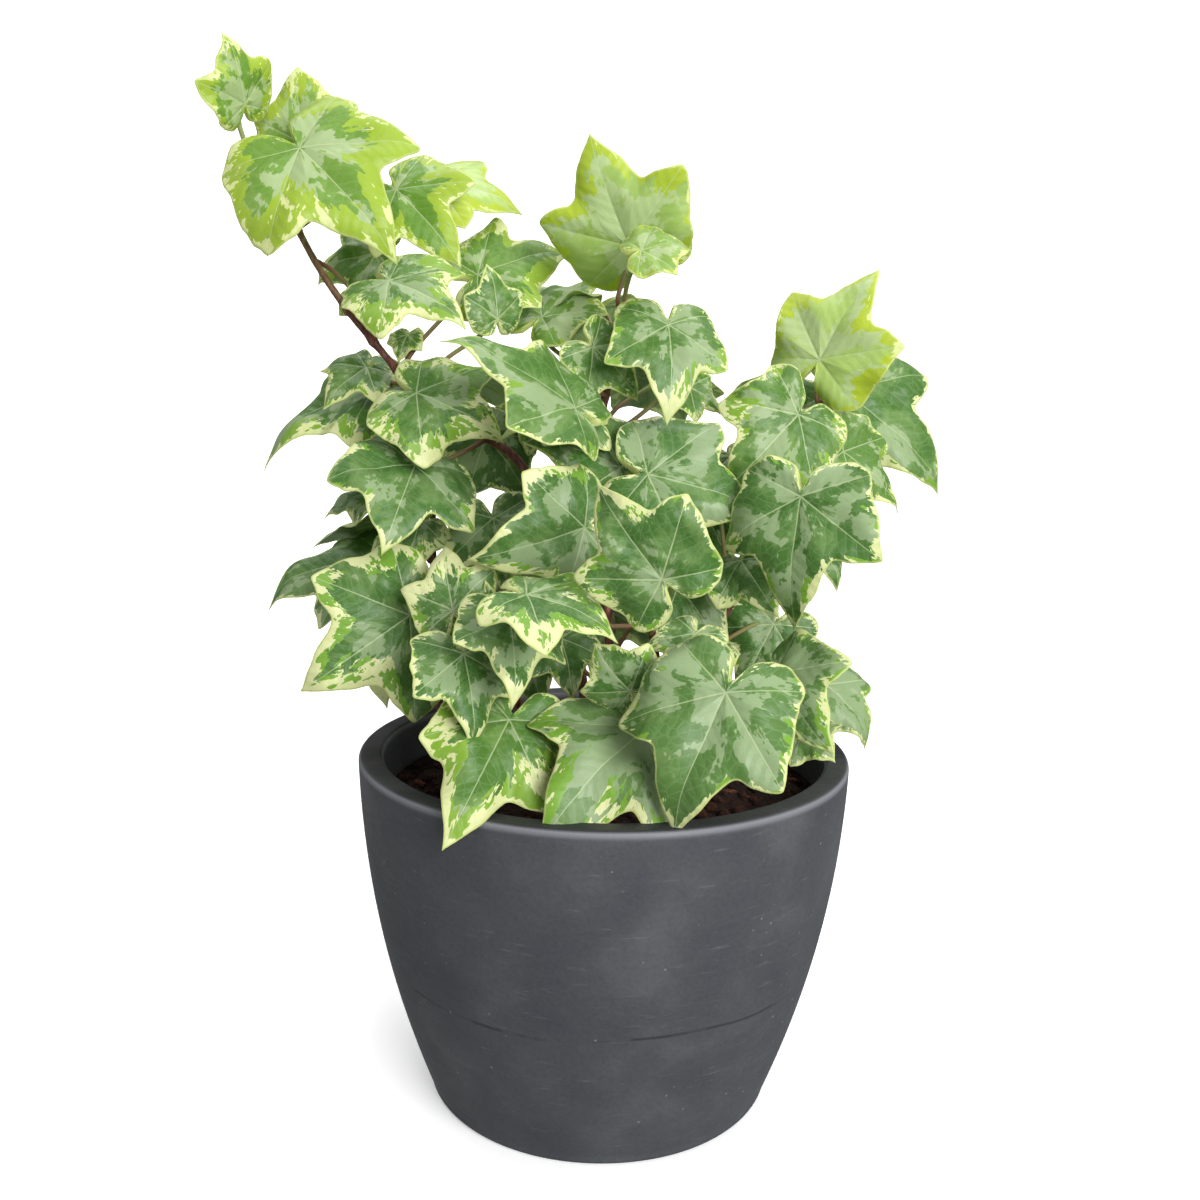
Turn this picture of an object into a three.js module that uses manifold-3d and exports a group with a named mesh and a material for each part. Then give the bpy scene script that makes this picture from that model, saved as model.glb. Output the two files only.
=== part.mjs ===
// Potted ivy: a small variegated English ivy growing in a round tapered pot.
// Millimetres, +Z up. The origin is the middle of the pot's underside, and -Y is the side
// that most of the leaves face. The plant is six rooted stems in one ball of soil; each leaf
// is one piece, a five-lobed blade with its stalk, and stops just short of its stem.

import * as THREE from 'three';
import { mergeVertices } from 'three/addons/utils/BufferGeometryUtils.js';
import Module from 'manifold-3d';

const wasm = await Module();
wasm.setup();

// ---------------------------------------------------------------- driving dimensions (mm)
const POT_HEIGHT = 100;
const RIM_RADIUS = 70; // widest outer radius, just under the rim
const RIM_BEVEL = 1.6; // rounded outer edge of the rim
const RIM_WIDTH = 5.6; // flat top of the rim
const FOOT_RADIUS = 49.5;
const FOOT_BEVEL = 2;
const WALL_SWELL = 0.86; // how far the wall bulges out from a straight cone
const WALL = 7;
const FLOOR = 8; // thickness of the pot's bottom
const MOUTH_BEVEL = 1; // inner edge of the rim
const POT_SIDES = 48;
const OUTER_STEPS = 7;
const INNER_STEPS = 6;

const SOIL_LEVEL = 87; // at the wall
const SOIL_CROWN = 3; // how much higher the soil stands in the middle
const SOIL_STEPS = 4; // up the soil's side
const MOUND_SHARES = [0.72, 0.4]; // rings of the mound, as shares of the soil's radius
const GAP = 0.4; // clearance between pieces that touch in the real plant
const SOCKET_GAP = 0.6; // room round a stem in the soil
const SOCKET_SIDES = 10;

const STEM_RADIUS = 1.25;
const STEM_SIDES = 7;
const STEM_STEPS = 20;
const STEM_DEPTH = 16; // how far a stem goes down into the soil

const BLADE_THICKNESS = 0.9;
const STALK_RADIUS = 0.65;
const STALK_SIDES = 5;
const STALK_STEPS = 5;
const STALK_START = 2.2; // where the stalk's first ring lies behind the blade
const STALK_BACK = 0.6; // how far that ring lies towards the notch, and how far it leans
const STALK_CLEAR = 0.8; // from the stem's surface to the end of the stalk
const STALK_RISE = 0.35; // how steeply a stalk climbs as it leaves its stem
const STALK_SWEEP = [0.3, 0.35]; // handles of its curve, as shares of its reach
const ARCH = 0.05; // rise of the midrib between the vein junction and the tip
const FOLD = 0.05; // V-fold of the blade along the midrib
const CUP = 0.16; // droop of the side lobes

// ---------------------------------------------------------------- leaf outlines
// Half an outline, from the tip of the middle lobe round to the notch at the stalk:
// angle from the midrib in degrees, and radius as a share of the leaf's length.
// Points 0, 4 and 7 are the tips of the middle, side and lower lobes.
const OUTLINES = {
  broad: [
    [0, 1], [14, 0.76], [30, 0.6], [42, 0.69], [55, 0.79], [73, 0.63],
    [92, 0.54], [114, 0.54], [137, 0.45], [160, 0.29], [180, 0.09],
  ],
  young: [
    [0, 1], [15, 0.8], [31, 0.68], [42, 0.72], [54, 0.78], [74, 0.64],
    [92, 0.56], [114, 0.52], [137, 0.42], [160, 0.27], [180, 0.08],
  ],
  arrow: [
    [0, 1], [9, 0.78], [22, 0.55], [38, 0.55], [56, 0.62], [76, 0.5],
    [94, 0.43], [115, 0.43], [138, 0.37], [160, 0.24], [180, 0.08],
  ],
};
const INNER_SHARE = 0.55; // inner ring of the blade's net, as a share of the outline
const MIDRIB_SHARE = 0.42; // the same on the midrib, which marks the middle lobe

// ---------------------------------------------------------------- the plant
// Each stem is a line of points from where it leaves the soil. Each of its leaves has the
// height at which its stalk leaves the stem, the vein junction, the tip of the middle lobe,
// the way its upper face looks, its outline and its width compared with the usual one.
const PLANT = {
  left: {
    path: [
      [-6, 1, 92], [-6, 0, 113], [-11, 0, 148], [-19, 1, 171], [-28, 2, 184], [-48, 3, 194],
      [-62, 3, 209], [-78, 3, 229], [-87, 3, 245], [-90, 3, 252],
    ],
    leaves: [
      [188, [-52, -14, 181], [-57, -37, 160], [0.3, -0.7, 0.65], 'broad', 1],
      [195, [-52, -11, 200], [-26, -16, 188], [0.1, -0.8, 0.6], 'broad', 1],
      [197, [-68, 20, 202], [-104, 15, 183], [-0.3, -0.5, 0.8], 'arrow', 1.05],
      [203, [-70, 13, 207], [-80, 3, 197], [0, -0.7, 0.7], 'broad', 1.05],
      [200, [-31, -3, 220], [-33, -3, 234], [0.6, -0.75, 0.1], 'young', 1],
      [206, [-38, 12, 233], [-13, 22, 242], [0.1, -0.8, 0.6], 'broad', 0.95],
      [222, [-67, 15, 239], [-87, 18, 232], [-0.3, -0.8, 0.5], 'broad', 1],
      [244, [-52, 21, 259], [-26, 23, 254], [0.2, -0.6, 0.75], 'broad', 1],
      [248, [-60, 8, 255], [-42, 0, 236], [0, -0.85, 0.4], 'broad', 1],
      [214, [-59, -11, 229], [-37, -21, 218], [0.1, -0.7, 0.7], 'broad', 1],
      [246, [-82, -10, 262], [-56, -20, 236], [0.1, -0.9, 0.4], 'broad', 1],
      [249, [-86, 12, 267], [-88, 12, 287], [-0.15, -0.9, 0.25], 'young', 1.2],
      [251, [-98, -2, 274], [-100, -10, 290], [0.8, -0.6, -0.1], 'young', 1],
    ],
  },
  low: {
    path: [
      [-36, -6, 92], [-44, -7, 103], [-47, -6, 114], [-48, 0, 130], [-50, 4, 157], [-50, 6, 170],
    ],
    leaves: [
      [120, [-62, 11, 134], [-66, 4, 110], [-0.6, -0.8, 0.25], 'broad', 1],
      [126, [-52, -25, 142], [-79, -35, 123], [0.1, -0.95, 0.1], 'broad', 1.1],
      [138, [-63, 9, 152], [-101, 12, 143], [-0.25, -0.3, 0.9], 'broad', 1.05],
      [134, [-30, 34, 150], [-42, 56, 130], [-0.4, 0.7, 0.6], 'broad', 1],
      [158, [-52, -5, 165], [-68, -3, 156], [-0.4, -0.8, 0.5], 'broad', 1],
      [168, [-66, 12, 172], [-83, 13, 165], [0, -0.35, 0.9], 'young', 0.9],
    ],
  },
  frontLeft: {
    path: [[-17, -16, 92], [-20, -23, 105], [-24, -31, 125], [-27, -35, 141]],
    leaves: [
      [104, [-24, -46, 120], [-37, -70, 96], [0.3, -0.7, 0.65], 'broad', 0.8],
      [137, [-35, -48, 137], [-31, -58, 117], [0.4, -0.8, 0.4], 'broad', 1],
      [138, [-39, -38, 146], [-43, -29, 162], [-0.1, -0.9, 0.45], 'broad', 1],
      [141, [-24, -48, 147], [-21, -65, 130], [0.3, -0.7, 0.65], 'broad', 0.95],
    ],
  },
  front: {
    path: [[13, -15, 92], [15, -21, 105], [15, -28, 122], [12, -36, 138], [10, -44, 150]],
    leaves: [
      [100, [10, -44, 118], [-16, -72, 99], [0.15, -0.55, 0.8], 'broad', 0.84],
      [122, [28, -62, 132], [14, -72, 100], [-0.3, -0.85, 0.35], 'broad', 0.92],
      [127, [6, -47, 128], [-4, -49, 140], [-0.4, -0.9, 0.1], 'young', 1.1],
      [132, [22, -42, 142], [15, -51, 131], [-0.2, -0.8, 0.5], 'broad', 0.95],
      [144, [-19, -59, 154], [4, -64, 146], [0.25, -0.4, 0.9], 'broad', 1],
      [149, [12, -66, 159], [-4, -62, 180], [-0.2, -1, 0], 'broad', 0.95],
    ],
  },
  centre: {
    path: [
      [2, 4, 92], [2, 1, 113], [0, 1, 143], [-3, 2, 177], [-2, 3, 196], [2, 4, 221], [3, 4, 226],
    ],
    leaves: [
      [118, [-12, -22, 136], [-8, -28, 120], [0.3, -0.9, 0.3], 'broad', 1],
      [140, [14, 36, 156], [24, 60, 140], [0.3, 0.8, 0.6], 'broad', 1],
      [154, [-6, -33, 167], [-31, -46, 160], [0.45, -0.9, 0.1], 'broad', 1],
      [166, [10, -21, 180], [42, -20, 171], [0, -0.85, 0.5], 'broad', 1],
      [176, [-8, -9, 194], [-31, -10, 192], [-0.1, -0.4, 0.9], 'broad', 1],
      [200, [-9, -27, 197], [-42, -32, 215], [0.45, -0.55, 0.7], 'arrow', 0.95],
      [190, [22, 4, 203], [33, 8, 196], [0.5, -0.75, 0.4], 'broad', 1],
      [203, [-5, -6, 213], [8, -4, 200], [0.35, -0.9, 0.3], 'broad', 1],
      [205, [-20, 15, 222], [-2, 25, 236], [-0.3, -0.55, 0.8], 'broad', 1],
      [220, [15, -10, 219], [16, -21, 195], [0.25, -0.9, 0.4], 'broad', 1],
      [222, [7, -18, 237], [21, -15, 240], [0, -0.7, 0.7], 'young', 1],
      [224, [4, -1, 240], [-8, -7, 268], [-0.3, -0.95, 0], 'broad', 1.05],
    ],
  },
  right: {
    path: [
      [12, -2, 92], [16, -1, 106], [25, 0, 122], [39, 2, 149], [51, 4, 172], [58, 8, 191],
      [60, 10, 202],
    ],
    leaves: [
      [98, [54, -17, 110], [61, -30, 107], [-0.4, -0.3, 0.9], 'young', 1],
      [116, [64, 1, 119], [79, -2, 103], [0.6, -0.75, 0.25], 'broad', 1.1],
      [114, [44, -30, 129], [54, -52, 116], [-0.6, -0.6, 0.4], 'broad', 1],
      [122, [28, -26, 137], [22, -38, 134], [0.15, -0.3, 0.95], 'young', 1],
      [134, [36, -14, 157], [44, -29, 145], [-0.4, -0.7, 0.6], 'broad', 1],
      [146, [42, 30, 150], [54, 52, 134], [0.5, 0.7, 0.5], 'broad', 1],
      [158, [48, -34, 176], [45, -40, 146], [-0.4, -0.85, 0.25], 'broad', 1.05],
      [174, [65, -1, 186], [84, 5, 170], [0.5, -0.8, 0.4], 'broad', 1],
      [178, [51, -7, 196], [32, -13, 176], [0.1, -1, 0.2], 'broad', 1],
      [188, [67, 20, 203], [101, 18, 176], [0.1, -0.85, 0.5], 'broad', 0.95],
      [199, [58, 5, 211], [72, 4, 237], [-0.35, -0.85, 0.3], 'broad', 1],
    ],
  },
};

// ---------------------------------------------------------------- materials
const potMaterial = new THREE.MeshStandardMaterial({ color: 0x4a4c50, roughness: 0.62, metalness: 0 });
const soilMaterial = new THREE.MeshStandardMaterial({ color: 0x2a1a12, roughness: 1, metalness: 0 });
const stemMaterial = new THREE.MeshStandardMaterial({ color: 0x5a3226, roughness: 0.7, metalness: 0 });
const leafMaterial = new THREE.MeshStandardMaterial({ color: 0x6c9648, roughness: 0.5, metalness: 0 });

// ---------------------------------------------------------------- helpers
const vec = ([x, y, z]) => new THREE.Vector3(x, y, z);

function meshOf(name, geometry, material) {
  const mesh = new THREE.Mesh(geometry, material);
  mesh.name = name;
  return mesh;
}

// A profile of [radius, height] pairs turned about Z.
function turned(profile) {
  const points = profile.map(([radius, height]) => new THREE.Vector2(radius, height));
  const geometry = new THREE.LatheGeometry(points, POT_SIDES);
  geometry.rotateX(Math.PI / 2);
  return geometry;
}

function toManifold(geometry) {
  const bare = geometry.clone();
  bare.deleteAttribute('normal');
  bare.deleteAttribute('uv');
  const merged = mergeVertices(bare, 1e-4);
  return new wasm.Manifold(new wasm.Mesh({
    numProp: 3,
    vertProperties: new Float32Array(merged.getAttribute('position').array),
    triVerts: new Uint32Array(merged.getIndex().array),
  }));
}

function fromManifold(solid) {
  const mesh = solid.getMesh();
  const geometry = new THREE.BufferGeometry();
  geometry.setAttribute('position', new THREE.BufferAttribute(mesh.vertProperties, 3));
  geometry.setIndex(new THREE.BufferAttribute(mesh.triVerts, 1));
  return geometry;
}

// ---------------------------------------------------------------- pot and soil
// The outer wall swells quickly above the foot and runs out nearly upright at the rim.
function outerRadius(height) {
  const share = height / (POT_HEIGHT - RIM_BEVEL);
  const swell = share * (1 + WALL_SWELL * (1 - share));
  return FOOT_RADIUS + (RIM_RADIUS - FOOT_RADIUS) * swell;
}

function innerRadius(height) {
  return outerRadius(height) - WALL;
}

function heights(from, to, steps) {
  return Array.from({ length: steps + 1 }, (_, i) => from + ((to - from) * i) / steps);
}

function makePot() {
  const outerHeights = heights(FOOT_BEVEL, POT_HEIGHT - RIM_BEVEL, OUTER_STEPS);
  const innerHeights = heights(POT_HEIGHT - MOUTH_BEVEL, FLOOR, INNER_STEPS);
  const outer = outerHeights.map((z) => [outerRadius(z), z]);
  const inner = innerHeights.map((z) => [innerRadius(z), z]);
  const rimOuter = RIM_RADIUS - RIM_BEVEL;
  return turned([
    [0, 0],
    [FOOT_RADIUS - FOOT_BEVEL, 0],
    ...outer,
    [rimOuter, POT_HEIGHT],
    [rimOuter - RIM_WIDTH + MOUTH_BEVEL, POT_HEIGHT],
    ...inner,
    [0, FLOOR],
  ]);
}

// The soil fills the pot to a low mound, with a socket where each stem goes in.
function makeSoil() {
  const sides = heights(FLOOR + GAP, SOIL_LEVEL, SOIL_STEPS);
  const wall = sides.map((z) => [innerRadius(z) - GAP, z]);
  const mound = MOUND_SHARES.map((share) => [
    innerRadius(SOIL_LEVEL) * share,
    SOIL_LEVEL + SOIL_CROWN * (1 - share ** 2),
  ]);
  const top = [0, SOIL_LEVEL + SOIL_CROWN];
  let soil = toManifold(turned([[0, FLOOR + GAP], ...wall, ...mound, top]));
  for (const { path } of Object.values(PLANT)) {
    const radius = STEM_RADIUS + SOCKET_GAP;
    const depth = STEM_DEPTH + 2 * SOIL_CROWN;
    const socket = new THREE.CylinderGeometry(radius, radius, depth, SOCKET_SIDES);
    socket.rotateX(Math.PI / 2);
    socket.translate(path[0][0], path[0][1], SOIL_LEVEL - STEM_DEPTH - GAP + depth / 2);
    soil = soil.subtract(toManifold(socket));
  }
  return fromManifold(soil);
}

// ---------------------------------------------------------------- stems
function stemCurve(path) {
  const [x, y] = path[0];
  const root = new THREE.Vector3(x, y, SOIL_LEVEL - STEM_DEPTH);
  const neck = new THREE.Vector3(x, y, SOIL_LEVEL - STEM_DEPTH / 2);
  const top = new THREE.Vector3(x, y, SOIL_LEVEL);
  return new THREE.CatmullRomCurve3([root, neck, top, ...path.map(vec)], false, 'centripetal');
}

function makeStem(path) {
  const section = new THREE.Shape();
  for (let i = 0; i < STEM_SIDES; i += 1) {
    const turn = (i / STEM_SIDES) * Math.PI * 2;
    const [x, y] = [STEM_RADIUS * Math.cos(turn), STEM_RADIUS * Math.sin(turn)];
    if (i === 0) section.moveTo(x, y);
    else section.lineTo(x, y);
  }
  section.closePath();
  return new THREE.ExtrudeGeometry(section, { steps: STEM_STEPS, extrudePath: stemCurve(path) });
}

// The stem's point and direction at a height.
function stemAt(path, height) {
  const curve = stemCurve(path);
  let low = 0;
  let high = 1;
  for (let i = 0; i < 30; i += 1) {
    const middle = (low + high) / 2;
    if (curve.getPointAt(middle).z < height) low = middle;
    else high = middle;
  }
  return { point: curve.getPointAt(low), along: curve.getTangentAt(low) };
}

// ---------------------------------------------------------------- leaves
// The net of one leaf: vertex 0 is the vein junction, then come the inner ring and the
// outline, the inner ring's underside, and the rings of the stalk with its closed end.
function makeLeaf(path, [height, junction, tip, face, outline, width]) {
  const origin = vec(junction);
  const along = vec(tip).sub(origin);
  const length = along.length();
  along.normalize();
  const normal = vec(face);
  normal.addScaledVector(along, -normal.dot(along)).normalize();
  const across = new THREE.Vector3().crossVectors(along, normal);

  const blade = (u, v, lift) => {
    const s = v / length;
    const bend = length * ARCH * 4 * s * (1 - s) + FOLD * Math.abs(u) - (CUP * u * u) / length;
    return origin.clone().addScaledVector(across, u).addScaledVector(along, v)
      .addScaledVector(normal, bend + lift);
  };
  const half = OUTLINES[outline];
  const spokes = [
    ...half.map(([angle, radius]) => [angle, radius, 1]),
    ...half.slice(1, -1).reverse().map(([angle, radius]) => [angle, radius, -1]),
  ];
  const ring = (lift, inner) => spokes.map(([angle, radius, side], i) => {
    const share = inner ? (i === 0 ? MIDRIB_SHARE : INNER_SHARE) : 1;
    const turn = THREE.MathUtils.degToRad(angle);
    const reach = radius * share * length;
    return blade(side * reach * Math.sin(turn) * width, reach * Math.cos(turn), lift);
  });

  // The stalk runs back from the junction and meets the stem from the side, rising a little.
  const stem = stemAt(path, height);
  const start = origin.clone().addScaledVector(normal, -STALK_START)
    .addScaledVector(along, -STALK_BACK);
  const leave = normal.clone().negate().addScaledVector(along, -STALK_BACK).normalize();
  const out = start.clone().sub(stem.point);
  const reach = out.length();
  out.addScaledVector(stem.along, -out.dot(stem.along)).normalize();
  const end = stem.point.clone().addScaledVector(out, STEM_RADIUS + STALK_CLEAR);
  out.addScaledVector(stem.along, STALK_RISE).normalize();
  const stalk = new THREE.CubicBezierCurve3(
    start,
    start.clone().addScaledVector(leave, reach * STALK_SWEEP[0]),
    end.clone().addScaledVector(out, reach * STALK_SWEEP[1]),
    end,
  );

  const points = [origin, ...ring(0, true), ...ring(0, false), ...ring(-BLADE_THICKNESS, true)];
  let side = across.clone();
  for (let k = 0; k <= STALK_STEPS; k += 1) {
    const centre = stalk.getPoint(k / STALK_STEPS);
    const forward = stalk.getTangent(k / STALK_STEPS);
    side.addScaledVector(forward, -side.dot(forward)).normalize();
    const up = new THREE.Vector3().crossVectors(forward, side);
    for (let i = 0; i < STALK_SIDES; i += 1) {
      const turn = (i / STALK_SIDES) * Math.PI * 2;
      points.push(centre.clone().addScaledVector(side, STALK_RADIUS * Math.sin(turn))
        .addScaledVector(up, -STALK_RADIUS * Math.cos(turn)));
    }
  }
  points.push(end.clone());

  const n = spokes.length;
  const [inner, edge, under, tube] = [1, 1 + n, 1 + 2 * n, 1 + 3 * n];
  const index = [];
  for (let i = 0; i < n; i += 1) {
    const j = (i + 1) % n;
    index.push(0, inner + j, inner + i);
    index.push(inner + i, inner + j, edge + j, inner + i, edge + j, edge + i);
    index.push(under + i, edge + i, edge + j, under + i, edge + j, under + j);
  }
  // Each stalk edge takes four spokes of the underside.
  const perSide = n / STALK_SIDES;
  for (let i = 0; i < n; i += 1) {
    const corner = tube + Math.floor((i + perSide / 2) / perSide) % STALK_SIDES;
    index.push(under + i, under + ((i + 1) % n), corner);
    if ((i + perSide / 2 + 1) % perSide === 0) {
      const next = tube + ((corner - tube + 1) % STALK_SIDES);
      index.push(under + ((i + 1) % n), next, corner);
    }
  }
  for (let k = 0; k < STALK_STEPS; k += 1) {
    for (let i = 0; i < STALK_SIDES; i += 1) {
      const a = tube + k * STALK_SIDES + i;
      const b = tube + k * STALK_SIDES + ((i + 1) % STALK_SIDES);
      index.push(a, b, b + STALK_SIDES, a, b + STALK_SIDES, a + STALK_SIDES);
    }
  }
  const last = tube + STALK_STEPS * STALK_SIDES;
  for (let i = 0; i < STALK_SIDES; i += 1) {
    index.push(last + i, last + ((i + 1) % STALK_SIDES), last + STALK_SIDES);
  }
  const geometry = new THREE.BufferGeometry();
  geometry.setAttribute('position', new THREE.BufferAttribute(
    new Float32Array(points.flatMap((p) => [p.x, p.y, p.z])), 3,
  ));
  geometry.setIndex(index);
  return geometry;
}

// ---------------------------------------------------------------- the whole object
const pottedIvy = new THREE.Group();
pottedIvy.add(meshOf('pot', makePot(), potMaterial));
pottedIvy.add(meshOf('soil', makeSoil(), soilMaterial));
for (const [stem, { path, leaves }] of Object.entries(PLANT)) {
  pottedIvy.add(meshOf(`stem_${stem}`, makeStem(path), stemMaterial.clone()));
  leaves.forEach((row, i) => {
    const number = String(i + 1).padStart(2, '0');
    pottedIvy.add(meshOf(`leaf_${stem}_${number}`, makeLeaf(path, row), leafMaterial.clone()));
  });
}

export default pottedIvy;
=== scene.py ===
# %% [markdown]
# # A potted variegated ivy
# This lesson builds a small English ivy in a round stoneware pot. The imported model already
# holds every piece at its real size: the pot, the soil, six stems and fifty-two leaves.
# Here each of them gets its fine surface and its finish. The frame is loaded first, and
# its box is kept, because nothing made below may grow the plant.

import math
import random
from functools import partial
from types import SimpleNamespace

import bpy
import numpy as np
from mathutils import Matrix, Vector


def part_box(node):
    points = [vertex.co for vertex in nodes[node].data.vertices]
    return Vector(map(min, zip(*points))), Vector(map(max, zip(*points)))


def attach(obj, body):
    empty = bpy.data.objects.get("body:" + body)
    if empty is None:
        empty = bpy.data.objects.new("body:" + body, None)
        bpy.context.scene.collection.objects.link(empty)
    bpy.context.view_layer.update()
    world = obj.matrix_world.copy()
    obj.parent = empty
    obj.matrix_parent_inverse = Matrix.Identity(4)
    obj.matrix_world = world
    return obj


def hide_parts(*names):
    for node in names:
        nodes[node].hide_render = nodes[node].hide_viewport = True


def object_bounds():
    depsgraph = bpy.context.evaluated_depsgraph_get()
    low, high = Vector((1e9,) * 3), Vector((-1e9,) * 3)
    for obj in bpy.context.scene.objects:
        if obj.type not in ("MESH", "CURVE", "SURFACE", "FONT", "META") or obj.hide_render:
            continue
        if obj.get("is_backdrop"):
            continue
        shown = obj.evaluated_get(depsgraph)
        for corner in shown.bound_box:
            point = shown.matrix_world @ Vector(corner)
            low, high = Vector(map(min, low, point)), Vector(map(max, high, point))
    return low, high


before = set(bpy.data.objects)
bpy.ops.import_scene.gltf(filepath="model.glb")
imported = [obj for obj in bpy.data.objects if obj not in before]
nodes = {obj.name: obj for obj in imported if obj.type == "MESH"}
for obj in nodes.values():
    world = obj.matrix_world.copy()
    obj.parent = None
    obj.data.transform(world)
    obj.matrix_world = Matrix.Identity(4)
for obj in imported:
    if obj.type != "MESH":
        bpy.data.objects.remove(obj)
cad_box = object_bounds()
scene = bpy.context.scene
MM = 0.001
print("frame:", len(nodes), "nodes, size in mm", [round(v / MM) for v in cad_box[1] - cad_box[0]])

# %% [markdown]
# ## The camera
# The plant is looked at from a little above the rim, so that the pot's mouth shows as a
# narrow ellipse and the soil just shows through the leaves. The camera leans by one degree,
# as a hand-held one does.

# %% Camera
CAMERA_PLACE = (-0.0019, -0.3323, 0.2001)
CAMERA_DOWN = 9.8  # degrees below the horizon
CAMERA_LEAN = 1.06
camera_data = bpy.data.cameras.new("camera")
camera_data.lens = 35.55
camera_data.sensor_width = 36
camera = bpy.data.objects.new("camera", camera_data)
camera.matrix_world = (
    Matrix.Translation(CAMERA_PLACE)
    @ Matrix.Rotation(math.radians(90 - CAMERA_DOWN), 4, "X")
    @ Matrix.Rotation(math.radians(CAMERA_LEAN), 4, "Z")
)
scene.collection.objects.link(camera)
scene.camera = camera
print("camera at", CAMERA_PLACE)

# %% [markdown]
# ## Helpers for colour and for material nodes
# Colours are written as the sRGB hex values that a paint card shows, and Blender's shaders
# want linear light, so one function turns them. A second function adds a shader node,
# sets its properties and fills its sockets: a socket gets a number, a colour or a link.

# %% Colour and node helpers
def linear(hex_colour):
    """An sRGB hex colour as linear red, green, blue and alpha."""
    channels = [int(hex_colour[i:i + 2], 16) / 255 for i in (1, 3, 5)]
    return [c / 12.92 if c < 0.04045 else ((c + 0.055) / 1.055) ** 2.4 for c in channels] + [1]


def add_node(tree, kind, *places, settings=None, stops=(), **names):
    """Adds a node. A kind such as "Math ADD" or "Mix RGBA" names its operation or data too.
    Inputs come in their order or by name: a number, a hex colour, or a node to link from.
    The stops of a colour ramp are a rising list of [place, hex colour]."""
    kind, _, choice = kind.partition(" ")
    node = tree.nodes.new("ShaderNode" + kind)
    if choice:
        setattr(node, "data_type" if kind == "Mix" else "operation", choice)
    for name, value in (settings or {}).items():
        setattr(node, name, value)
    for index, (place, colour) in enumerate(stops):
        elements = node.color_ramp.elements
        element = elements[index] if index < 2 else elements.new(place)
        element.position = place
        element.color = linear(colour)
    sockets = [s for s in node.inputs if s.enabled]
    named = {s.name.lower().replace(" ", "_"): s for s in reversed(sockets)}
    given = list(zip(sockets, places)) + [(named[name], names[name]) for name in names]
    for socket, value in given:
        if isinstance(value, bpy.types.Node):
            value = next(s for s in value.outputs if s.enabled)
        if isinstance(value, bpy.types.NodeSocket):
            tree.links.new(value, socket)
        else:
            socket.default_value = linear(value) if isinstance(value, str) else value
    return node


def new_material(name):
    """An empty material, and the function above made ready to add nodes to it."""
    material = bpy.data.materials.new(name)
    material.use_nodes = True
    material.node_tree.nodes.clear()
    return material, partial(add_node, material.node_tree)


print("helpers ready; mid grey is", [round(c, 3) for c in linear("#808080")])

# %% [markdown]
# ## Helpers for meshes
# Every piece is built as arrays of points and faces and becomes one closed mesh. Pieces
# are made of rings: a pot is rings up and down its wall, a stem is rings along a line, and
# a leaf is rings from its middle to its margin. `strips` joins rings of equal count, `cap`
# closes the last one, and `zipper` joins a ring to a coarser one, such as a blade's
# underside to its stalk.

# %% Mesh helpers
def make_piece(name, points, faces, material, replaces=(), slot=None, flat_from=None):
    """One smooth-shaded mesh object that rides on the body, in metres."""
    mesh = bpy.data.meshes.new(name)
    mesh.from_pydata([tuple(p) for p in points], [], faces)
    smooth = np.ones(len(faces), bool)
    if flat_from is not None:
        smooth[flat_from[0]:flat_from[1]] = False
    mesh.polygons.foreach_set("use_smooth", smooth)
    mesh.materials.append(material)
    piece = bpy.data.objects.new(name, mesh)
    scene.collection.objects.link(piece)
    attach(piece, "root")
    if replaces:
        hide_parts(*replaces)
    return piece


def strips(first, rings, n):
    """Quads between neighbouring rings of n points. The first ring starts at point first."""
    return [(a + i, a + (i + 1) % n, a + n + (i + 1) % n, a + n + i)
            for a in range(first, first + (rings - 1) * n, n) for i in range(n)]


def cap(point, ring, n, at_start=False):
    """Triangles that close a ring of n points on one point, at the end or at the start."""
    faces = [(ring + i, ring + (i + 1) % n, point) for i in range(n)]
    return [face[::-1] for face in faces] if at_start else faces


def closed_rings(rings, n):
    """Faces of a solid made of rings of n points, with one point before and one after."""
    last = 1 + (rings - 1) * n
    return cap(0, 1, n, True) + strips(1, rings, n) + cap(last + n, last, n)


def zipper(a, n, b, m):
    """Faces from ring a of n points to ring b of m points, where m divides n."""
    share = n // m
    faces = []
    for i in range(n):
        corner = b + (i + share // 2) // share % m
        after = b + (i + 1 + share // 2) // share % m
        faces.append((a + i, a + (i + 1) % n, corner))
        if after != corner:
            faces.append((a + (i + 1) % n, after, corner))
    return faces


def unit(v):
    """The vector, or each row of vectors, at length one."""
    return v / np.linalg.norm(v, axis=-1, keepdims=True)


def spline(points, count):
    """A smooth line through the points, as count points evenly spaced along it."""
    points = np.asarray(points, float)
    padded = np.vstack([2 * points[0] - points[1], points, 2 * points[-1] - points[-2]])
    fine = []
    for p0, p1, p2, p3 in zip(padded, padded[1:], padded[2:], padded[3:]):
        for t in np.linspace(0, 1, 8, endpoint=False):
            fine.append(0.5 * (
                2 * p1 + (p2 - p0) * t + (2 * p0 - 5 * p1 + 4 * p2 - p3) * t ** 2
                + (3 * p1 - p0 - 3 * p2 + p3) * t ** 3
            ))
    fine.append(points[-1])
    fine = np.array(fine)
    run = np.r_[0, np.cumsum(np.linalg.norm(np.diff(fine, axis=0), axis=1))]
    even = np.linspace(0, run[-1], count)
    return np.stack([np.interp(even, run, fine[:, k]) for k in range(3)], axis=1)


def tube_rings(centres, radii, sides, first_side):
    """Rings round a line, turned as little as possible from one to the next."""
    forward = unit(np.gradient(centres, axis=0))
    side = np.asarray(first_side, float)
    rings = []
    for centre, ahead, radius in zip(centres, forward, radii):
        side = unit(side - ahead * (side @ ahead))
        up = np.cross(ahead, side)
        for i in range(sides):
            turn = 2 * math.pi * i / sides
            rings.append(centre + radius * (side * math.cos(turn) + up * math.sin(turn)))
    return rings


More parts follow.
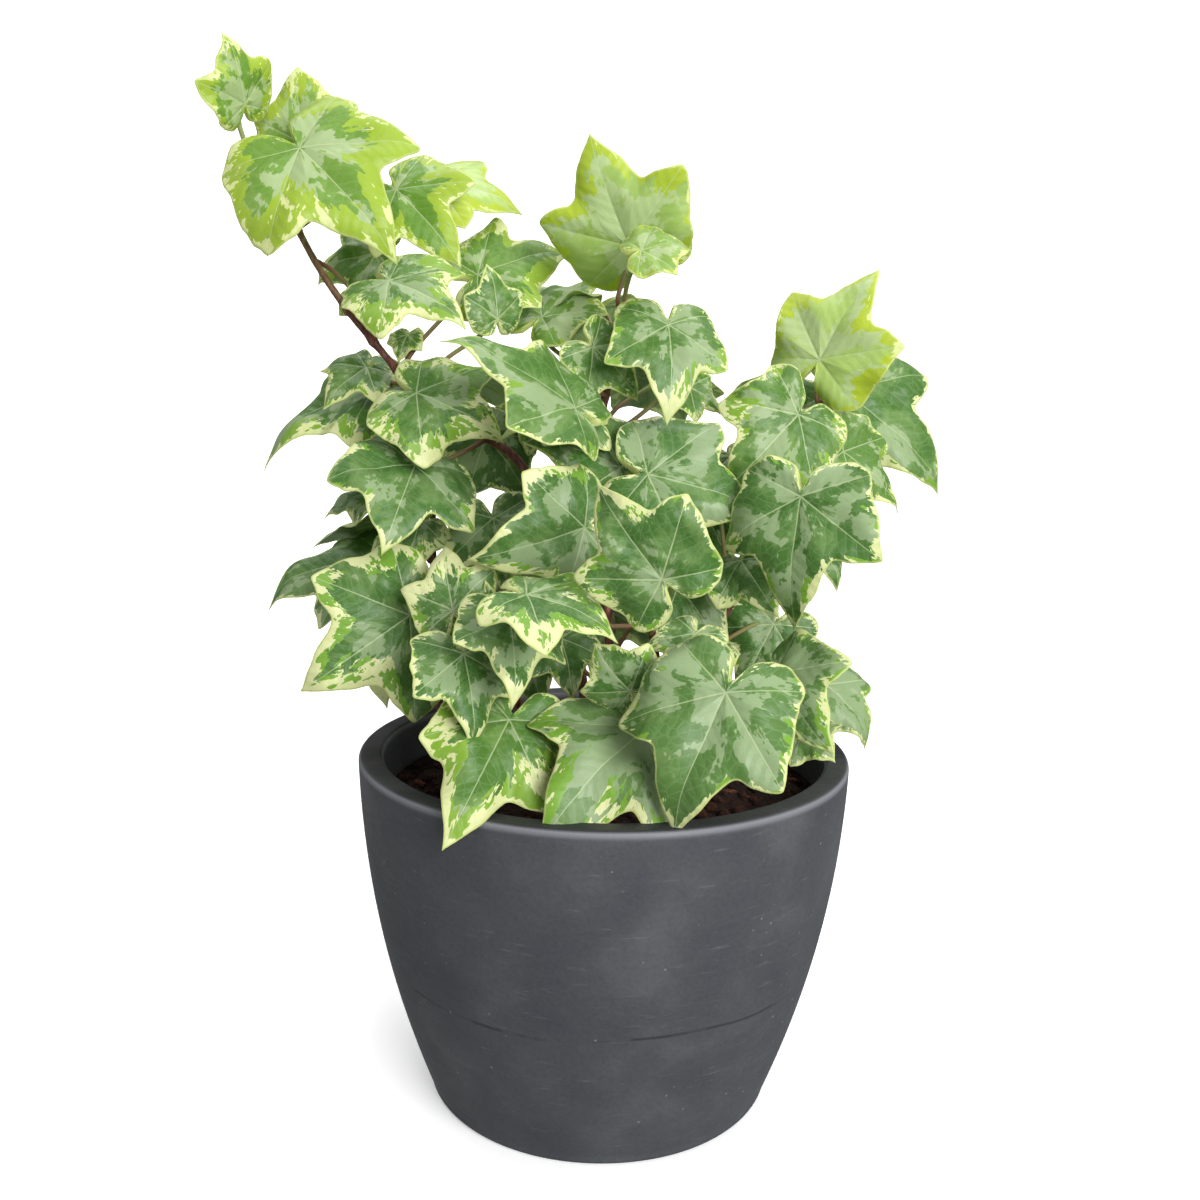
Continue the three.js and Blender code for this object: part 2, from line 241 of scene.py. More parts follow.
def set_values(piece, name, kind, values):
    """Stores a value per point: kind FLOAT, or FLOAT_VECTOR for three numbers."""
    attribute = piece.data.attributes.new(name, kind, "POINT")
    key = "value" if kind == "FLOAT" else "vector"
    attribute.data.foreach_set(key, np.asarray(values, np.float32).ravel())


print("mesh helpers ready")

# %% [markdown]
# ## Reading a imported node
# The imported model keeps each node's corners, so the fine surfaces start from them and no
# size is typed twice. Corners that lie on each other are merged, and `layers_from` walks
# from a first set of corners to its neighbours, ring by ring.

# %% Read the nodes
MERGE_WITHIN = 2e-3 * MM


def net_of(node):
    """The node's merged points, its faces, and each point's neighbours."""
    mesh = nodes[node].data
    raw = np.array([v.co for v in mesh.vertices])
    cells = np.round(raw / MERGE_WITHIN).astype(int)
    keys, inverse = np.unique(cells, axis=0, return_inverse=True)
    inverse = inverse.ravel()
    points = np.zeros((len(keys), 3))
    points[inverse] = raw
    faces = [[int(inverse[i]) for i in p.vertices] for p in mesh.polygons]
    near = [set() for _ in points]
    for face in faces:
        for a in face:
            near[a].update(b for b in face if b != a)
    return points, faces, near


def layers_from(first, near):
    """Lists of point numbers, each the neighbours of the one before."""
    layers = [list(first)]
    seen = set(first)
    while True:
        ring = sorted({b for a in layers[-1] for b in near[a]} - seen)
        if not ring:
            return layers
        seen.update(ring)
        layers.append(ring)


stem_names = sorted(n for n in nodes if n.startswith("stem_"))
leaf_names = sorted(n for n in nodes if n.startswith("leaf_"))
print(len(stem_names), "stems and", len(leaf_names), "leaves to finish")

# %% [markdown]
# ## The pot: its shape
# A cast pot of matte dark grey stoneware, turned about its axis. The outer wall swells
# quickly above the foot and runs out nearly upright. It could be a cylinder with modifiers,
# but the wall's curve, the rounded rim and the small foot bevel are what make it this pot,
# so it is a lathe: a profile of [radius, height] pairs with an arc at each edge. The wall's
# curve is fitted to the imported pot's own corners.

# %% Lathe helper
def arc(centre, radius, start, end, steps):
    """Points [r, z] on an arc in the profile, angles in degrees."""
    turns = np.radians(np.linspace(start, end, steps + 1))
    return [[centre[0] + radius * math.cos(t), centre[1] + radius * math.sin(t)] for t in turns]


def lathe(profile, sides, uneven=0.0):
    """Points and faces of a profile turned about Z. It starts and ends on the axis."""
    first, *rings, last = profile
    points = [(0, 0, first[1])]
    for r, z in rings:
        for i in range(sides):
            turn = 2 * math.pi * i / sides
            sway = math.sin(2 * turn + 40 * z) + 0.6 * math.sin(5 * turn - 70 * z)
            reach = r + uneven * sway
            points.append((reach * math.cos(turn), reach * math.sin(turn), z))
    points.append((0, 0, last[1]))
    return points, closed_rings(len(rings), sides)


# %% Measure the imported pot
pot_net = net_of("pot")[0]
pot_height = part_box("pot")[1].z
pot_radii = np.hypot(pot_net[:, 0], pot_net[:, 1])
rim_radius = pot_radii.max()
foot_radius = pot_radii[np.abs(pot_net[:, 2]) < 3 * MM].max()
straight = foot_radius + (rim_radius - foot_radius) * pot_net[:, 2] / pot_height
on_outside = (pot_radii > straight - 2 * MM) & (pot_net[:, 2] < pot_height - 0.5 * MM)
on_outside &= pot_net[:, 2] > 0.5 * MM
outer_curve = np.polyfit(pot_net[on_outside, 2], pot_radii[on_outside], 2)
inside = (pot_radii < straight - 4 * MM) & (pot_radii > 0.5 * foot_radius)
inside &= pot_net[:, 2] > 5 * MM
wall = np.mean(np.polyval(outer_curve, pot_net[inside, 2]) - pot_radii[inside])
floor_height = pot_net[(pot_radii < 1 * MM) & (pot_net[:, 2] > 1 * MM), 2].max()
print("pot, mm: rim radius %.1f, foot %.1f, wall %.1f, floor %.1f" % tuple(
    v / MM for v in (rim_radius, foot_radius, wall, floor_height)))

# %% Pot profile
RIM_ROUND = 1.6 * MM
INNER_ROUND = 1.2 * MM
FOOT_ROUND = 1.8 * MM
COVE = 5 * MM  # where the inner wall meets the floor
WALL_STEPS = 44
POT_SIDES = 192


def outer_at(z):
    """Radius of the pot's outer wall at a height."""
    return float(np.polyval(outer_curve, z))


rim_edge = rim_radius - RIM_ROUND
rim_inner = outer_at(pot_height - INNER_ROUND) - wall
outer_wall = [
    [outer_at(z), z]
    for z in np.linspace(FOOT_ROUND, pot_height - RIM_ROUND, WALL_STEPS)
]
inner_wall = [
    [outer_at(z) - wall, z]
    for z in np.linspace(pot_height - INNER_ROUND, floor_height + COVE, WALL_STEPS // 2)
]
cove_centre = [inner_wall[-1][0] - COVE, floor_height + COVE]
pot_profile = (
    [[0, 0], [0.5 * foot_radius, 0]]
    + arc([foot_radius - FOOT_ROUND, FOOT_ROUND], FOOT_ROUND, -90, -8, 6)
    + outer_wall
    + arc([rim_edge, pot_height - RIM_ROUND], RIM_ROUND, 8, 90, 7)
    + [[rim_inner + INNER_ROUND + 1.5 * MM, pot_height - 0.1 * MM]]
    + arc([rim_inner + INNER_ROUND, pot_height - INNER_ROUND], INNER_ROUND, 90, 172, 6)
    + inner_wall[1:]
    + arc(cove_centre, COVE, -8, -90, 6)
    + [[0, floor_height]]
)
print("pot profile:", len(pot_profile), "points")

# %% [markdown]
# ## The pot: its finish
# Matte stoneware, coloured through with a dark grey slip and fired without a glaze. The
# surface is fine and dry: it scatters light widely, so it has no clear highlight, only a
# pale veil where it turns away. What the eye reads as fired clay is in the small things: a
# soft cloudiness about 22 mm across, grains near a millimetre, a few pale specks of
# temper, light scuffs, and a faint dark line where the mould's halves met.

# %% Pot material
def stoneware():
    """Matte grey stoneware: IOR of fired clay about 1.5, roughness high."""
    material, add = new_material("matte_stoneware")
    where = add("TexCoord").outputs["Object"]
    cloud = add("TexNoise", where, scale=1 / 0.022, detail=4.0, roughness=0.5, distortion=0.2)
    tone = add("ValToRGB", cloud, stops=[[0.3, "#3a3d43"], [0.52, "#434549"], [0.72, "#505155"]])
    grain = add("TexNoise", where, scale=1 / 0.0012, detail=3.0, roughness=0.65)
    grain_tone = add("ValToRGB", grain,
                     stops=[[0.35, "#9b9b9b"], [0.5, "#bcbcbc"], [0.7, "#d0d0d0"]])
    grained = add("Mix RGBA", settings={"blend_type": "OVERLAY"}, factor=0.3, a=tone,
                  b=grain_tone)
    # Temper specks: cells of about 4 mm, and only the heart of a few of them shows.
    cells = add("TexVoronoi", where, scale=1 / 0.0042, randomness=1.0)
    speck = add("MapRange", cells.outputs["Distance"], from_min=0.10, from_max=0.05, to_max=0.55)
    few = add("TexNoise", where, scale=1 / 0.03, detail=1.0)
    chosen = add("MapRange", few, from_min=0.5, from_max=0.6)
    speck_there = add("Math MULTIPLY", speck, chosen)
    specked = add("Mix RGBA", factor=speck_there, a=grained, b="#96928a")
    # The mould line: a band 1.2 mm wide, broken up by noise.
    height = add("SeparateXYZ", where).outputs["Z"]
    sway = add("TexNoise", where, scale=1 / 0.05, detail=2.0)
    line_at = add("Math MULTIPLY_ADD", sway, 0.006, 0.425 * pot_height - 0.003)
    off_line = add("Math ABSOLUTE", add("Math SUBTRACT", height, line_at))
    line = add("MapRange", off_line, from_min=0.0006, from_max=0.0002, to_max=0.65)
    worn = add("MapRange", cloud, from_min=0.44, from_max=0.52)
    line_there = add("Math MULTIPLY", line, worn)
    lined = add("Mix RGBA", factor=line_there, a=specked, b="#191a1c")
    # Scuffs: long thin rub marks that lie round the wall.
    stretched = add("Mapping", where, scale=(1.0, 1.0, 9.0))
    rub = add("TexNoise", stretched, scale=1 / 0.011, detail=6.0, roughness=0.7)
    scuff = add("MapRange", rub, from_min=0.6, from_max=0.72, to_max=0.45)
    scuffed = add("Mix RGBA", factor=scuff, a=lined, b="#6d6e71")
    # Painted light at the rim: a painted highlight along the outer edge's rounding, and painted
    # shade on its flat top.
    from_rim = add("Math SUBTRACT", pot_height, height)
    down = add("MapRange", from_rim, from_max=4 * MM)
    # By depth below the rim: painted shade on the flat top, then a pale painted highlight band,
    # fading into the wall's grey.
    edge = add("ValToRGB", down,
               stops=[[0.0, "#1f2022"], [0.04, "#1f2022"], [0.16, "#808187"], [0.38, "#6d6e74"],
                      [0.62, "#46484c"]])
    # The painted highlight and shade cover the top 1.6 mm of the pot.
    painted_rim_mask = add("MapRange", from_rim, from_min=2.6 * MM, from_max=1.6 * MM, to_max=0.8)
    rim_painted_light = add("Mix RGBA", factor=painted_rim_mask, a=scuffed, b=edge)
    dry = add("MapRange", rub, from_min=0.3, from_max=0.7, to_min=0.52, to_max=0.68)
    pits = add("Bump", strength=0.35, distance=0.25 * MM, height=grain)
    soft = add("Bump", strength=0.25, distance=1.2 * MM, height=cloud, normal=pits)
    skin = add("BsdfPrincipled", base_color=rim_painted_light, roughness=dry, ior=1.5, normal=soft)
    add("OutputMaterial", surface=skin)
    return material


pot_piece = make_piece("pot_wall", *lathe(pot_profile, POT_SIDES, 0.06 * MM), stoneware(),
                       replaces=["pot"], slot="pot_stoneware")
print("pot:", len(pot_piece.data.vertices), "points")

# %% [markdown]
# ## The soil: its shape
# Peaty potting soil, filled to a low mound well under the rim. Its visible top is all
# small lumps, so the mound is a fine polar net whose heights come from layered noise, and
# loose crumbs and bark chips lie on it as real little solids half sunk in.

# %% Soil body
from mathutils import noise

soil_net = net_of("soil")[0]
soil_radii = np.hypot(soil_net[:, 0], soil_net[:, 1])
soil_low, soil_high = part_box("soil")
soil_edge = soil_radii.max()
edge_height = soil_net[soil_radii > soil_edge - 1 * MM, 2].max()
crown = soil_high.z - edge_height
SOIL_RINGS = 56
SOIL_SIDES = 180
SOIL_GAP = 0.4 * MM  # between the soil and the pot's wall


def soil_height(x, y):
    """Height of the soil's lumpy top."""
    share = min(1.0, math.hypot(x, y) / soil_edge)
    lumps = noise.noise(Vector((x, y, 0.1)) / 0.009)
    grit = noise.noise(Vector((x, y, 0.4)) / 0.0032)
    fine = noise.noise(Vector((x, y, 0.7)) / 0.0014)
    return edge_height + crown * (1 - share ** 2) + (1.5 * lumps + 1.1 * grit + 0.5 * fine) * MM


def soil_body():
    """Points and faces of the soil: a smooth side along the pot's wall and a lumpy top."""
    wall_line = [[outer_at(z) - wall - SOIL_GAP, z]
                 for z in np.linspace(soil_low.z, edge_height, 8)]
    top = [[soil_edge * share, edge_height] for share in np.linspace(0.99, 0.02, SOIL_RINGS)]
    points, faces = lathe([[0, soil_low.z]] + wall_line + top + [[0, soil_high.z]], SOIL_SIDES)
    start = 1 + len(wall_line) * SOIL_SIDES
    lifted = points[:start] + [(x, y, soil_height(x, y)) for x, y, z in points[start:]]
    return lifted, faces


print("soil, mm: radius %.1f, edge %.1f, crown %.1f" % tuple(
    v / MM for v in (soil_edge, edge_height, crown)))

# %% [markdown]
# ## The soil: its finish
# Peat is nearly black when damp, with rusty fibres and a few tan bits of bark. It is as
# rough as a surface can be and soaks up light, so the roughness is near 1 and the colour
# is very dark. The loose crumbs and chips use the same function with a warmer colour.

# %% Soil materials
def peat(name, dark, middle, light, grain):
    """Damp peat: blotches of three browns, grains of the given size in metres."""
    material, add = new_material(name)
    where = add("TexCoord").outputs["Object"]
    blotch = add("TexNoise", where, scale=1 / (5 * grain), detail=6.0, roughness=0.75)
    tone = add("ValToRGB", blotch, stops=[[0.36, dark], [0.55, middle], [0.74, light]])
    fibres = add("TexNoise", where, scale=1 / grain, detail=4.0)
    rough = add("Bump", strength=0.9, distance=0.8 * MM, height=fibres)
    skin = add("BsdfPrincipled", base_color=tone, roughness=0.95, ior=1.45, normal=rough)
    add("OutputMaterial", surface=skin)
    return material


soil_piece = make_piece("soil_mound", *soil_body(), peat(
    "damp_peat", "#120805", "#301710", "#552e1e", 0.9 * MM), replaces=["soil"],
    slot="potting_soil")
print("soil:", len(soil_piece.data.vertices), "points")

# %% Loose crumbs and bark chips
LUMP_RINGS = 5
LUMP_SIDES = 10
ROUGHNESS = 0.35  # how far a lump's surface leaves a ball, for a radius of 1


def lump(rng, centre, size):
    """A rough little solid: a ball of five rings of points, with its radii shaken."""
    turn = Matrix.Rotation(rng.uniform(0, 6.28), 3, "Z") @ Matrix.Rotation(
        rng.uniform(-0.5, 0.5), 3, "X")
    seed = Vector((rng.uniform(0, 50), 0, 0))
    points = [Vector((0, 0, -1))]
    for k in range(1, LUMP_RINGS + 1):
        tilt = math.pi * k / (LUMP_RINGS + 1)
        for i in range(LUMP_SIDES):
            spin = 2 * math.pi * i / LUMP_SIDES
            way = Vector((math.sin(tilt) * math.cos(spin), math.sin(tilt) * math.sin(spin),
                          -math.cos(tilt)))
            points.append(way * (1 + ROUGHNESS * noise.noise(way * 1.7 + seed)))
    points.append(Vector((0, 0, 1)))
    placed = [Vector(centre) + turn @ Vector(a * b for a, b in zip(p, size)) for p in points]
    return placed, closed_rings(LUMP_RINGS, LUMP_SIDES)


def scatter(seed, count, sizes, sink):
    """Lumps spread over the mound. sizes: a function of the random source."""
    rng = random.Random(seed)
    points, faces = [], []
    for _ in range(count):
        reach = (soil_edge - 2.5 * MM) * math.sqrt(rng.random())
        spin = rng.uniform(0, 2 * math.pi)
        x, y = reach * math.cos(spin), reach * math.sin(spin)
        size = [s * MM for s in sizes(rng)]
        at = (x, y, soil_height(x, y) + size[2] * sink)
        more, sides = lump(rng, at, size)
        faces += [tuple(len(points) + i for i in side) for side in sides]
        points += more
    return points, faces


def crumb_size(rng):
    """Half a crumb's length, width and height in millimetres."""
    s = 0.7 + 1.5 * rng.random() ** 2
    return s, s * rng.uniform(0.7, 1), s * rng.uniform(0.6, 0.9)


def chip_size(rng):
    """Half a chip's length, width and height in millimetres."""
    s = rng.uniform(1.4, 3.4)
    return s, s * rng.uniform(0.3, 0.5), s * rng.uniform(0.16, 0.28)


crumbs = make_piece("soil_crumbs", *scatter(11, 620, crumb_size, 0.25), peat(
    "crumbled_peat", "#1a0c07", "#42210f", "#6b3d26", 0.7 * MM), slot="potting_soil")
chips = make_piece("bark_chips", *scatter(12, 70, chip_size, 0.4), peat(
    "composted_bark", "#4a2519", "#7a4630", "#a9805a", 0.5 * MM), slot="potting_soil")
print("crumbs and chips:", len(crumbs.data.polygons) + len(chips.data.polygons), "faces")

# %% [markdown]
# ## The stems: their shape
# Ivy stems are thin, woody at the base and wiry above, with a slight thickening, a node,
# at each place where a leaf stalk leaves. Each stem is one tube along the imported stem's
# own middle line. Its radius swells at the nodes, and it thins towards the growing tip.

# %% Read a stem and a leaf
def stem_line(node):
    """The middle line of a packed stem, from the bottom up, and its radius."""
    points, _, near = net_of(node)
    sides = 7
    lowest = list(np.argsort(points[:, 2])[:sides])
    rings = layers_from(lowest, near)
    centres = np.array([points[ring].mean(axis=0) for ring in rings])
    radius = np.linalg.norm(points[rings[0]] - centres[0], axis=1).mean()
    return centres, radius


def leaf_net(node):
    """A packed leaf: junction, axes, outline and inner points in the leaf's own frame, and
    the middles of the stalk's rings."""
    points, faces, near = net_of(node)
    junction = int(np.argmax([len(n) for n in near]))
    layers = layers_from([junction], near)
    origin = points[junction]
    inner = points[layers[1]] - origin
    edge = points[layers[2]] - origin
    upward = np.zeros(3)
    for face in faces:
        if junction in face:
            a, b, c = points[face[0]], points[face[1]], points[face[2]]
            upward += np.cross(b - a, c - a)
    partner = np.argmax(unit(inner) @ unit(edge).T, axis=1)
    share = np.linalg.norm(inner, axis=1) / np.linalg.norm(edge[partner], axis=1)
    tip = edge[partner[np.argmin(share)]]
    length = float(np.linalg.norm(tip))
    along = tip / length
    normal = unit(upward - along * (upward @ along))
    across = np.cross(along, normal)
    axes = np.stack([across, along, normal])
    edge = edge @ axes.T
    inner = inner @ axes.T
    turn = np.mod(np.arctan2(edge[:, 0], edge[:, 1]) + 1e-4, 2 * math.pi)
    edge = edge[np.argsort(turn)]
    stalk = [points[ring].mean(axis=0) for ring in layers[4:-1]]
    return {"origin": origin, "axes": axes, "length": length, "edge": edge,
            "inner": inner, "stalk": np.array(stalk)}


stem_lines = {name: stem_line(name) for name in stem_names}
leaf_nets = {name: leaf_net(name) for name in leaf_names}
lengths = [net["length"] / MM for net in leaf_nets.values()]
print("leaf lengths, mm: %.0f to %.0f" % (min(lengths), max(lengths)),
      {len(net["edge"]) for net in leaf_nets.values()}, "outline points each")

# %% Stem shape
STEM_SIDES = 12
STEM_STEP = 0.9 * MM
NODE_SWELL = 0.42 * MM
NODE_REACH = 1.3 * MM
STEM_BUD = 0.4 * MM  # the closing point's place past the last ring


def stem_piece_data(name):
    """Points, faces and age of a stem, and its middle line for the leaf stalks."""
    centres, radius = stem_lines[name]
    length = np.linalg.norm(np.diff(centres, axis=0), axis=1).sum()
    line = spline(centres, int(length / STEM_STEP))
    share = np.linspace(0, 1, len(line))
    radii = radius * (1.12 - 0.42 * share ** 1.5)
    for leaf, net in leaf_nets.items():
        if leaf.split("_")[1] == name.split("_")[1]:
            away = np.linalg.norm(line - net["stalk"][-1], axis=1)
            at = line[np.argmin(away)]
            radii += NODE_SWELL * np.exp(-(np.linalg.norm(line - at, axis=1) / NODE_REACH) ** 2)
    rng = random.Random(name)
    seed = rng.uniform(0, 90)
    radii += [0.1 * MM * noise.noise(Vector((seed, 0, 0.25 * i))) for i in range(len(line))]
    radii[-4:] *= [0.95, 0.8, 0.6, 0.35]
    bud = line[-1] + STEM_BUD * unit(line[-1] - line[-2])
    points = [line[0], *tube_rings(line, radii, STEM_SIDES, (1, 0, 0)), bud]
    faces = closed_rings(len(line), STEM_SIDES)
    return points, faces, [0, *np.repeat(share, STEM_SIDES), 1], line


# %% [markdown]
# ## The stems: their finish
# Young ivy bark is thin and a little waxy, red-brown with a purple cast in the light and
# nearly black in shade, dotted with small pale pores. Near the growing tip it is still
# green. The `age` value stored along each stem turns one into the other.

# %% Bark material
def ivy_bark():
    """Young ivy bark: a waxy skin, so IOR 1.45 and a middling roughness."""
    material, add = new_material("ivy_bark")
    where = add("TexCoord").outputs["Object"]
    streaks = add("Mapping", where, scale=(1.0, 1.0, 0.25))
    grain = add("TexNoise", streaks, scale=1 / 0.0011, detail=4.0, roughness=0.6)
    wood = add("ValToRGB", grain, stops=[[0.3, "#3a1d19"], [0.5, "#65362b"], [0.7, "#8c5a48"]])
    young = add("ValToRGB", grain, stops=[[0.3, "#5b4a2a"], [0.5, "#7d6a3a"], [0.7, "#94954f"]])
    age = add("Attribute", settings={"attribute_name": "age"}).outputs["Fac"]
    turned_green = add("MapRange", age, from_min=0.8)
    bark = add("Mix RGBA", factor=turned_green, a=wood, b=young)
    # Pores: pale dots about half a millimetre across, 2.5 mm apart.
    cells = add("TexVoronoi", where, scale=1 / 0.0025, randomness=1.0)
    pore = add("MapRange", cells.outputs["Distance"], from_min=0.16, from_max=0.08, to_max=0.6)
    dotted = add("Mix RGBA", factor=pore, a=bark, b="#b08a70")
    ridges = add("Bump", strength=0.5, distance=0.2 * MM, height=grain)
    skin = add("BsdfPrincipled", base_color=dotted, roughness=0.5, ior=1.45, normal=ridges)
    add("OutputMaterial", surface=skin)
    return material


bark = ivy_bark()
stem_middles = {}
for name in stem_names:
    points, faces, age, stem_middles[name] = stem_piece_data(name)
    piece = make_piece(name + "_bark", points, faces, bark, replaces=[name], slot="ivy_stem")
    set_values(piece, "age", "FLOAT", age)
print("stems:", len(stem_middles))

# %% [markdown]
# ## The leaves: their shape
# An ivy leaf is a thin waxy blade with five lobes. Five main veins fan out from the
# junction with the stalk, each to the tip of a lobe; the blade sinks a little along them
# and puffs up between, its sides droop, and its margin waves. A flat card with a painted
# outline would show none of that from the side, so each leaf is a net of rings round the
# junction, 160 points to a ring, closed by an underside and carried on into its stalk.
# The spokes of the net run along the veins, so the sunk veins stay crisp.

# %% Leaf outline
SPAN = 8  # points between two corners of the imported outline
POINTED = (0,)  # the tip of the middle lobe
BLUNT = (4, 16)  # tips of the side lobes
VEINS = (0, 4, 7, 13, 16)


def fine_outline(edge, rng):
    """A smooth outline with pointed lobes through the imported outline's 20 corners."""
    corners = edge[:, :2]
    n = len(corners)
    before, after = np.roll(corners, 1, axis=0), np.roll(corners, -1, axis=0)
    arriving = 0.5 * (after - before)
    leaving = arriving.copy()
    for i in BLUNT:
        arriving[i] *= 0.5
        leaving[i] *= 0.5
    for i in POINTED:
        out = unit(corners[i])
        step_in, step_out = corners[i] - before[i], after[i] - corners[i]
        arriving[i] = 0.7 * step_in + 0.25 * out * np.linalg.norm(step_in)
        leaving[i] = 0.7 * step_out - 0.25 * out * np.linalg.norm(step_out)
    points = []
    for i in range(n):
        j = (i + 1) % n
        for t in np.arange(SPAN) / SPAN:
            h = (2 * t ** 3 - 3 * t ** 2 + 1, t ** 3 - 2 * t ** 2 + t,
                 -2 * t ** 3 + 3 * t ** 2, t ** 3 - t ** 2)
            points.append(h[0] * corners[i] + h[1] * leaving[i] + h[2] * corners[j]
                          + h[3] * arriving[j])
    points = np.array(points)
    turn = np.arctan2(points[:, 0], points[:, 1])
    lean, tilt, seed = rng.uniform(0, 6.28), rng.uniform(0, 6.28), rng.uniform(0, 90)
    shaken = [0.07 * noise.noise(Vector((2.6 * math.sin(a), 2.6 * math.cos(a), seed)))
              + 0.02 * noise.noise(Vector((9 * math.sin(a), 9 * math.cos(a), seed)))
              for a in turn]
    reach = 1 + 0.03 * np.sin(turn + lean) + 0.02 * np.sin(3 * turn + tilt) + shaken
    return points * reach[:, None]


# %% Leaf surface
RING_SHARES = [0.07, 0.15, 0.25, 0.35, 0.45, 0.55, 0.65, 0.74, 0.82, 0.89, 0.94, 0.975, 1.0]
BLADE_THICK = 0.38 * MM
RIM_THICK = 0.18 * MM
VEIN_DEPTH = 0.24 * MM
PUFF = 1.3 * MM
ROLL = 1.5 * MM  # how far the margin turns down
STALK_SIDES = 10
STALK_STEPS = 22


def bend_of(net):
    """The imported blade's arch along the midrib, V-fold and droop, fitted to its corners."""
    spots = np.vstack([net["inner"], net["edge"]])
    u, v, lift = spots.T
    s = v / net["length"]
    terms = np.stack([4 * s * (1 - s) * net["length"], np.abs(u), -u * u / net["length"]], axis=1)
    return np.linalg.lstsq(terms, lift, rcond=None)[0]


def vein_place(u, v, outline):
    """Distance from the nearest main vein and the run along it."""
    away = np.full(u.shape, 1.0)
    run = np.zeros(u.shape)
    for i in VEINS:
        du, dv = unit(outline[i * SPAN])
        ahead = u * du + v * dv
        off = np.where(ahead > 0, np.abs(u * dv - v * du), np.hypot(u, v))
        closer = off < away
        away = np.where(closer, off, away)
        run = np.where(closer, ahead, run)
    return away, run


def margin_distance(u, v, outline):
    """Distance of points from the outline, which is taken as short straight lines."""
    a = outline
    b = np.roll(outline, -1, axis=0)
    d = b - a
    p = np.stack([u, v], axis=-1)[:, None, :]
    t = np.clip(((p - a) * d).sum(-1) / (d * d).sum(-1), 0, 1)
    return np.linalg.norm(p - (a + d * t[..., None]), axis=-1).min(axis=1)


def noise_at(u, v, length, seed):
    """Slow noise over the blade, for the dents that no two leaves share."""
    return np.array([noise.noise(Vector((3.2 * a / length, 3.2 * b / length, seed)))
                     for a, b in zip(u, v)])


def blade_lift(u, v, share, away, net, habit):
    """Height of the blade's upper face over the leaf's flat plane."""
    length = net["length"]
    arch, fold, cup = habit["bend"]
    s = v / length
    soft = 0.8 * MM
    lift = arch * 4 * s * (1 - s) * length + fold * (np.sqrt(u * u + soft ** 2) - soft)
    lift -= cup * u * u / length
    lift -= habit["curl"] * length * np.clip(np.hypot(u, v) / length - 0.5, 0, None) ** 2
    lift += habit["twist"] * u * v / length
    turn = np.arctan2(u, v)
    waves = np.sin(3 * turn + habit["phase"]) + 0.7 * np.sin(7 * turn + 2 * habit["phase"])
    lift += habit["wave"] * length * share ** 3 * waves
    size = length / (30 * MM)
    lift += PUFF * size * (1 - np.exp(-(away / (3.4 * MM)) ** 2)) * (1 - 0.5 * share)
    lift -= ROLL * size * share ** 5
    lift += habit["dent"] * size * (noise_at(u, v, length, habit["phase"])) * share
    lift -= VEIN_DEPTH * np.exp(-(away / (0.45 * MM)) ** 2) * (1 - 0.7 * share)
    return lift


def habit_of(net, rng, young):
    """How this one leaf grew: its own curl, twist and waves."""
    return {
        "bend": bend_of(net),
        "curl": rng.uniform(0.1, 0.75),
        "twist": rng.uniform(-0.2, 0.2),
        "wave": rng.uniform(0.02, 0.036) * (1 + 0.4 * young),
        "dent": rng.uniform(2.5, 5.0) * (1 - 0.6 * young) * MM,
        "phase": rng.uniform(0, 6.28),
    }


print("a leaf ring has", 20 * SPAN, "points")

# %% Leaf piece
def stalk_line(net, middle, radius):
    """The stalk's middle line, from under the blade into the stem."""
    across, along, normal = net["axes"]
    under = net["origin"] - normal * 0.9 * MM - along * 0.2 * MM
    last = net["stalk"][-1]
    on_stem = middle[np.argmin(np.linalg.norm(middle - last, axis=1))]
    foot = on_stem + unit(last - on_stem) * 0.35 * radius
    return spline(np.vstack([under, net["stalk"], foot]), STALK_STEPS)


def by_leaf(**stems):
    """A table by leaf name, from each stem's leaf numbers and their values."""
    return {"leaf_%s_%02d" % (stem, number): value
            for stem, values in stems.items() for number, value in values.items()}


# How grey-green a leaf is all over, where that is known, from 0 to 1.
KNOWN_FROST = by_leaf(
    front={1: 0.9, 2: 0.6, 5: 0.1, 6: 0.1},
    right={1: 0.9, 2: 1.0, 3: 0.7, 7: 0.35, 9: 0.2, 11: 0.5},
    centre={3: 0.4, 9: 0.5, 12: 0.45}, left={2: 0.2, 11: 0.6}, low={3: 0.1})


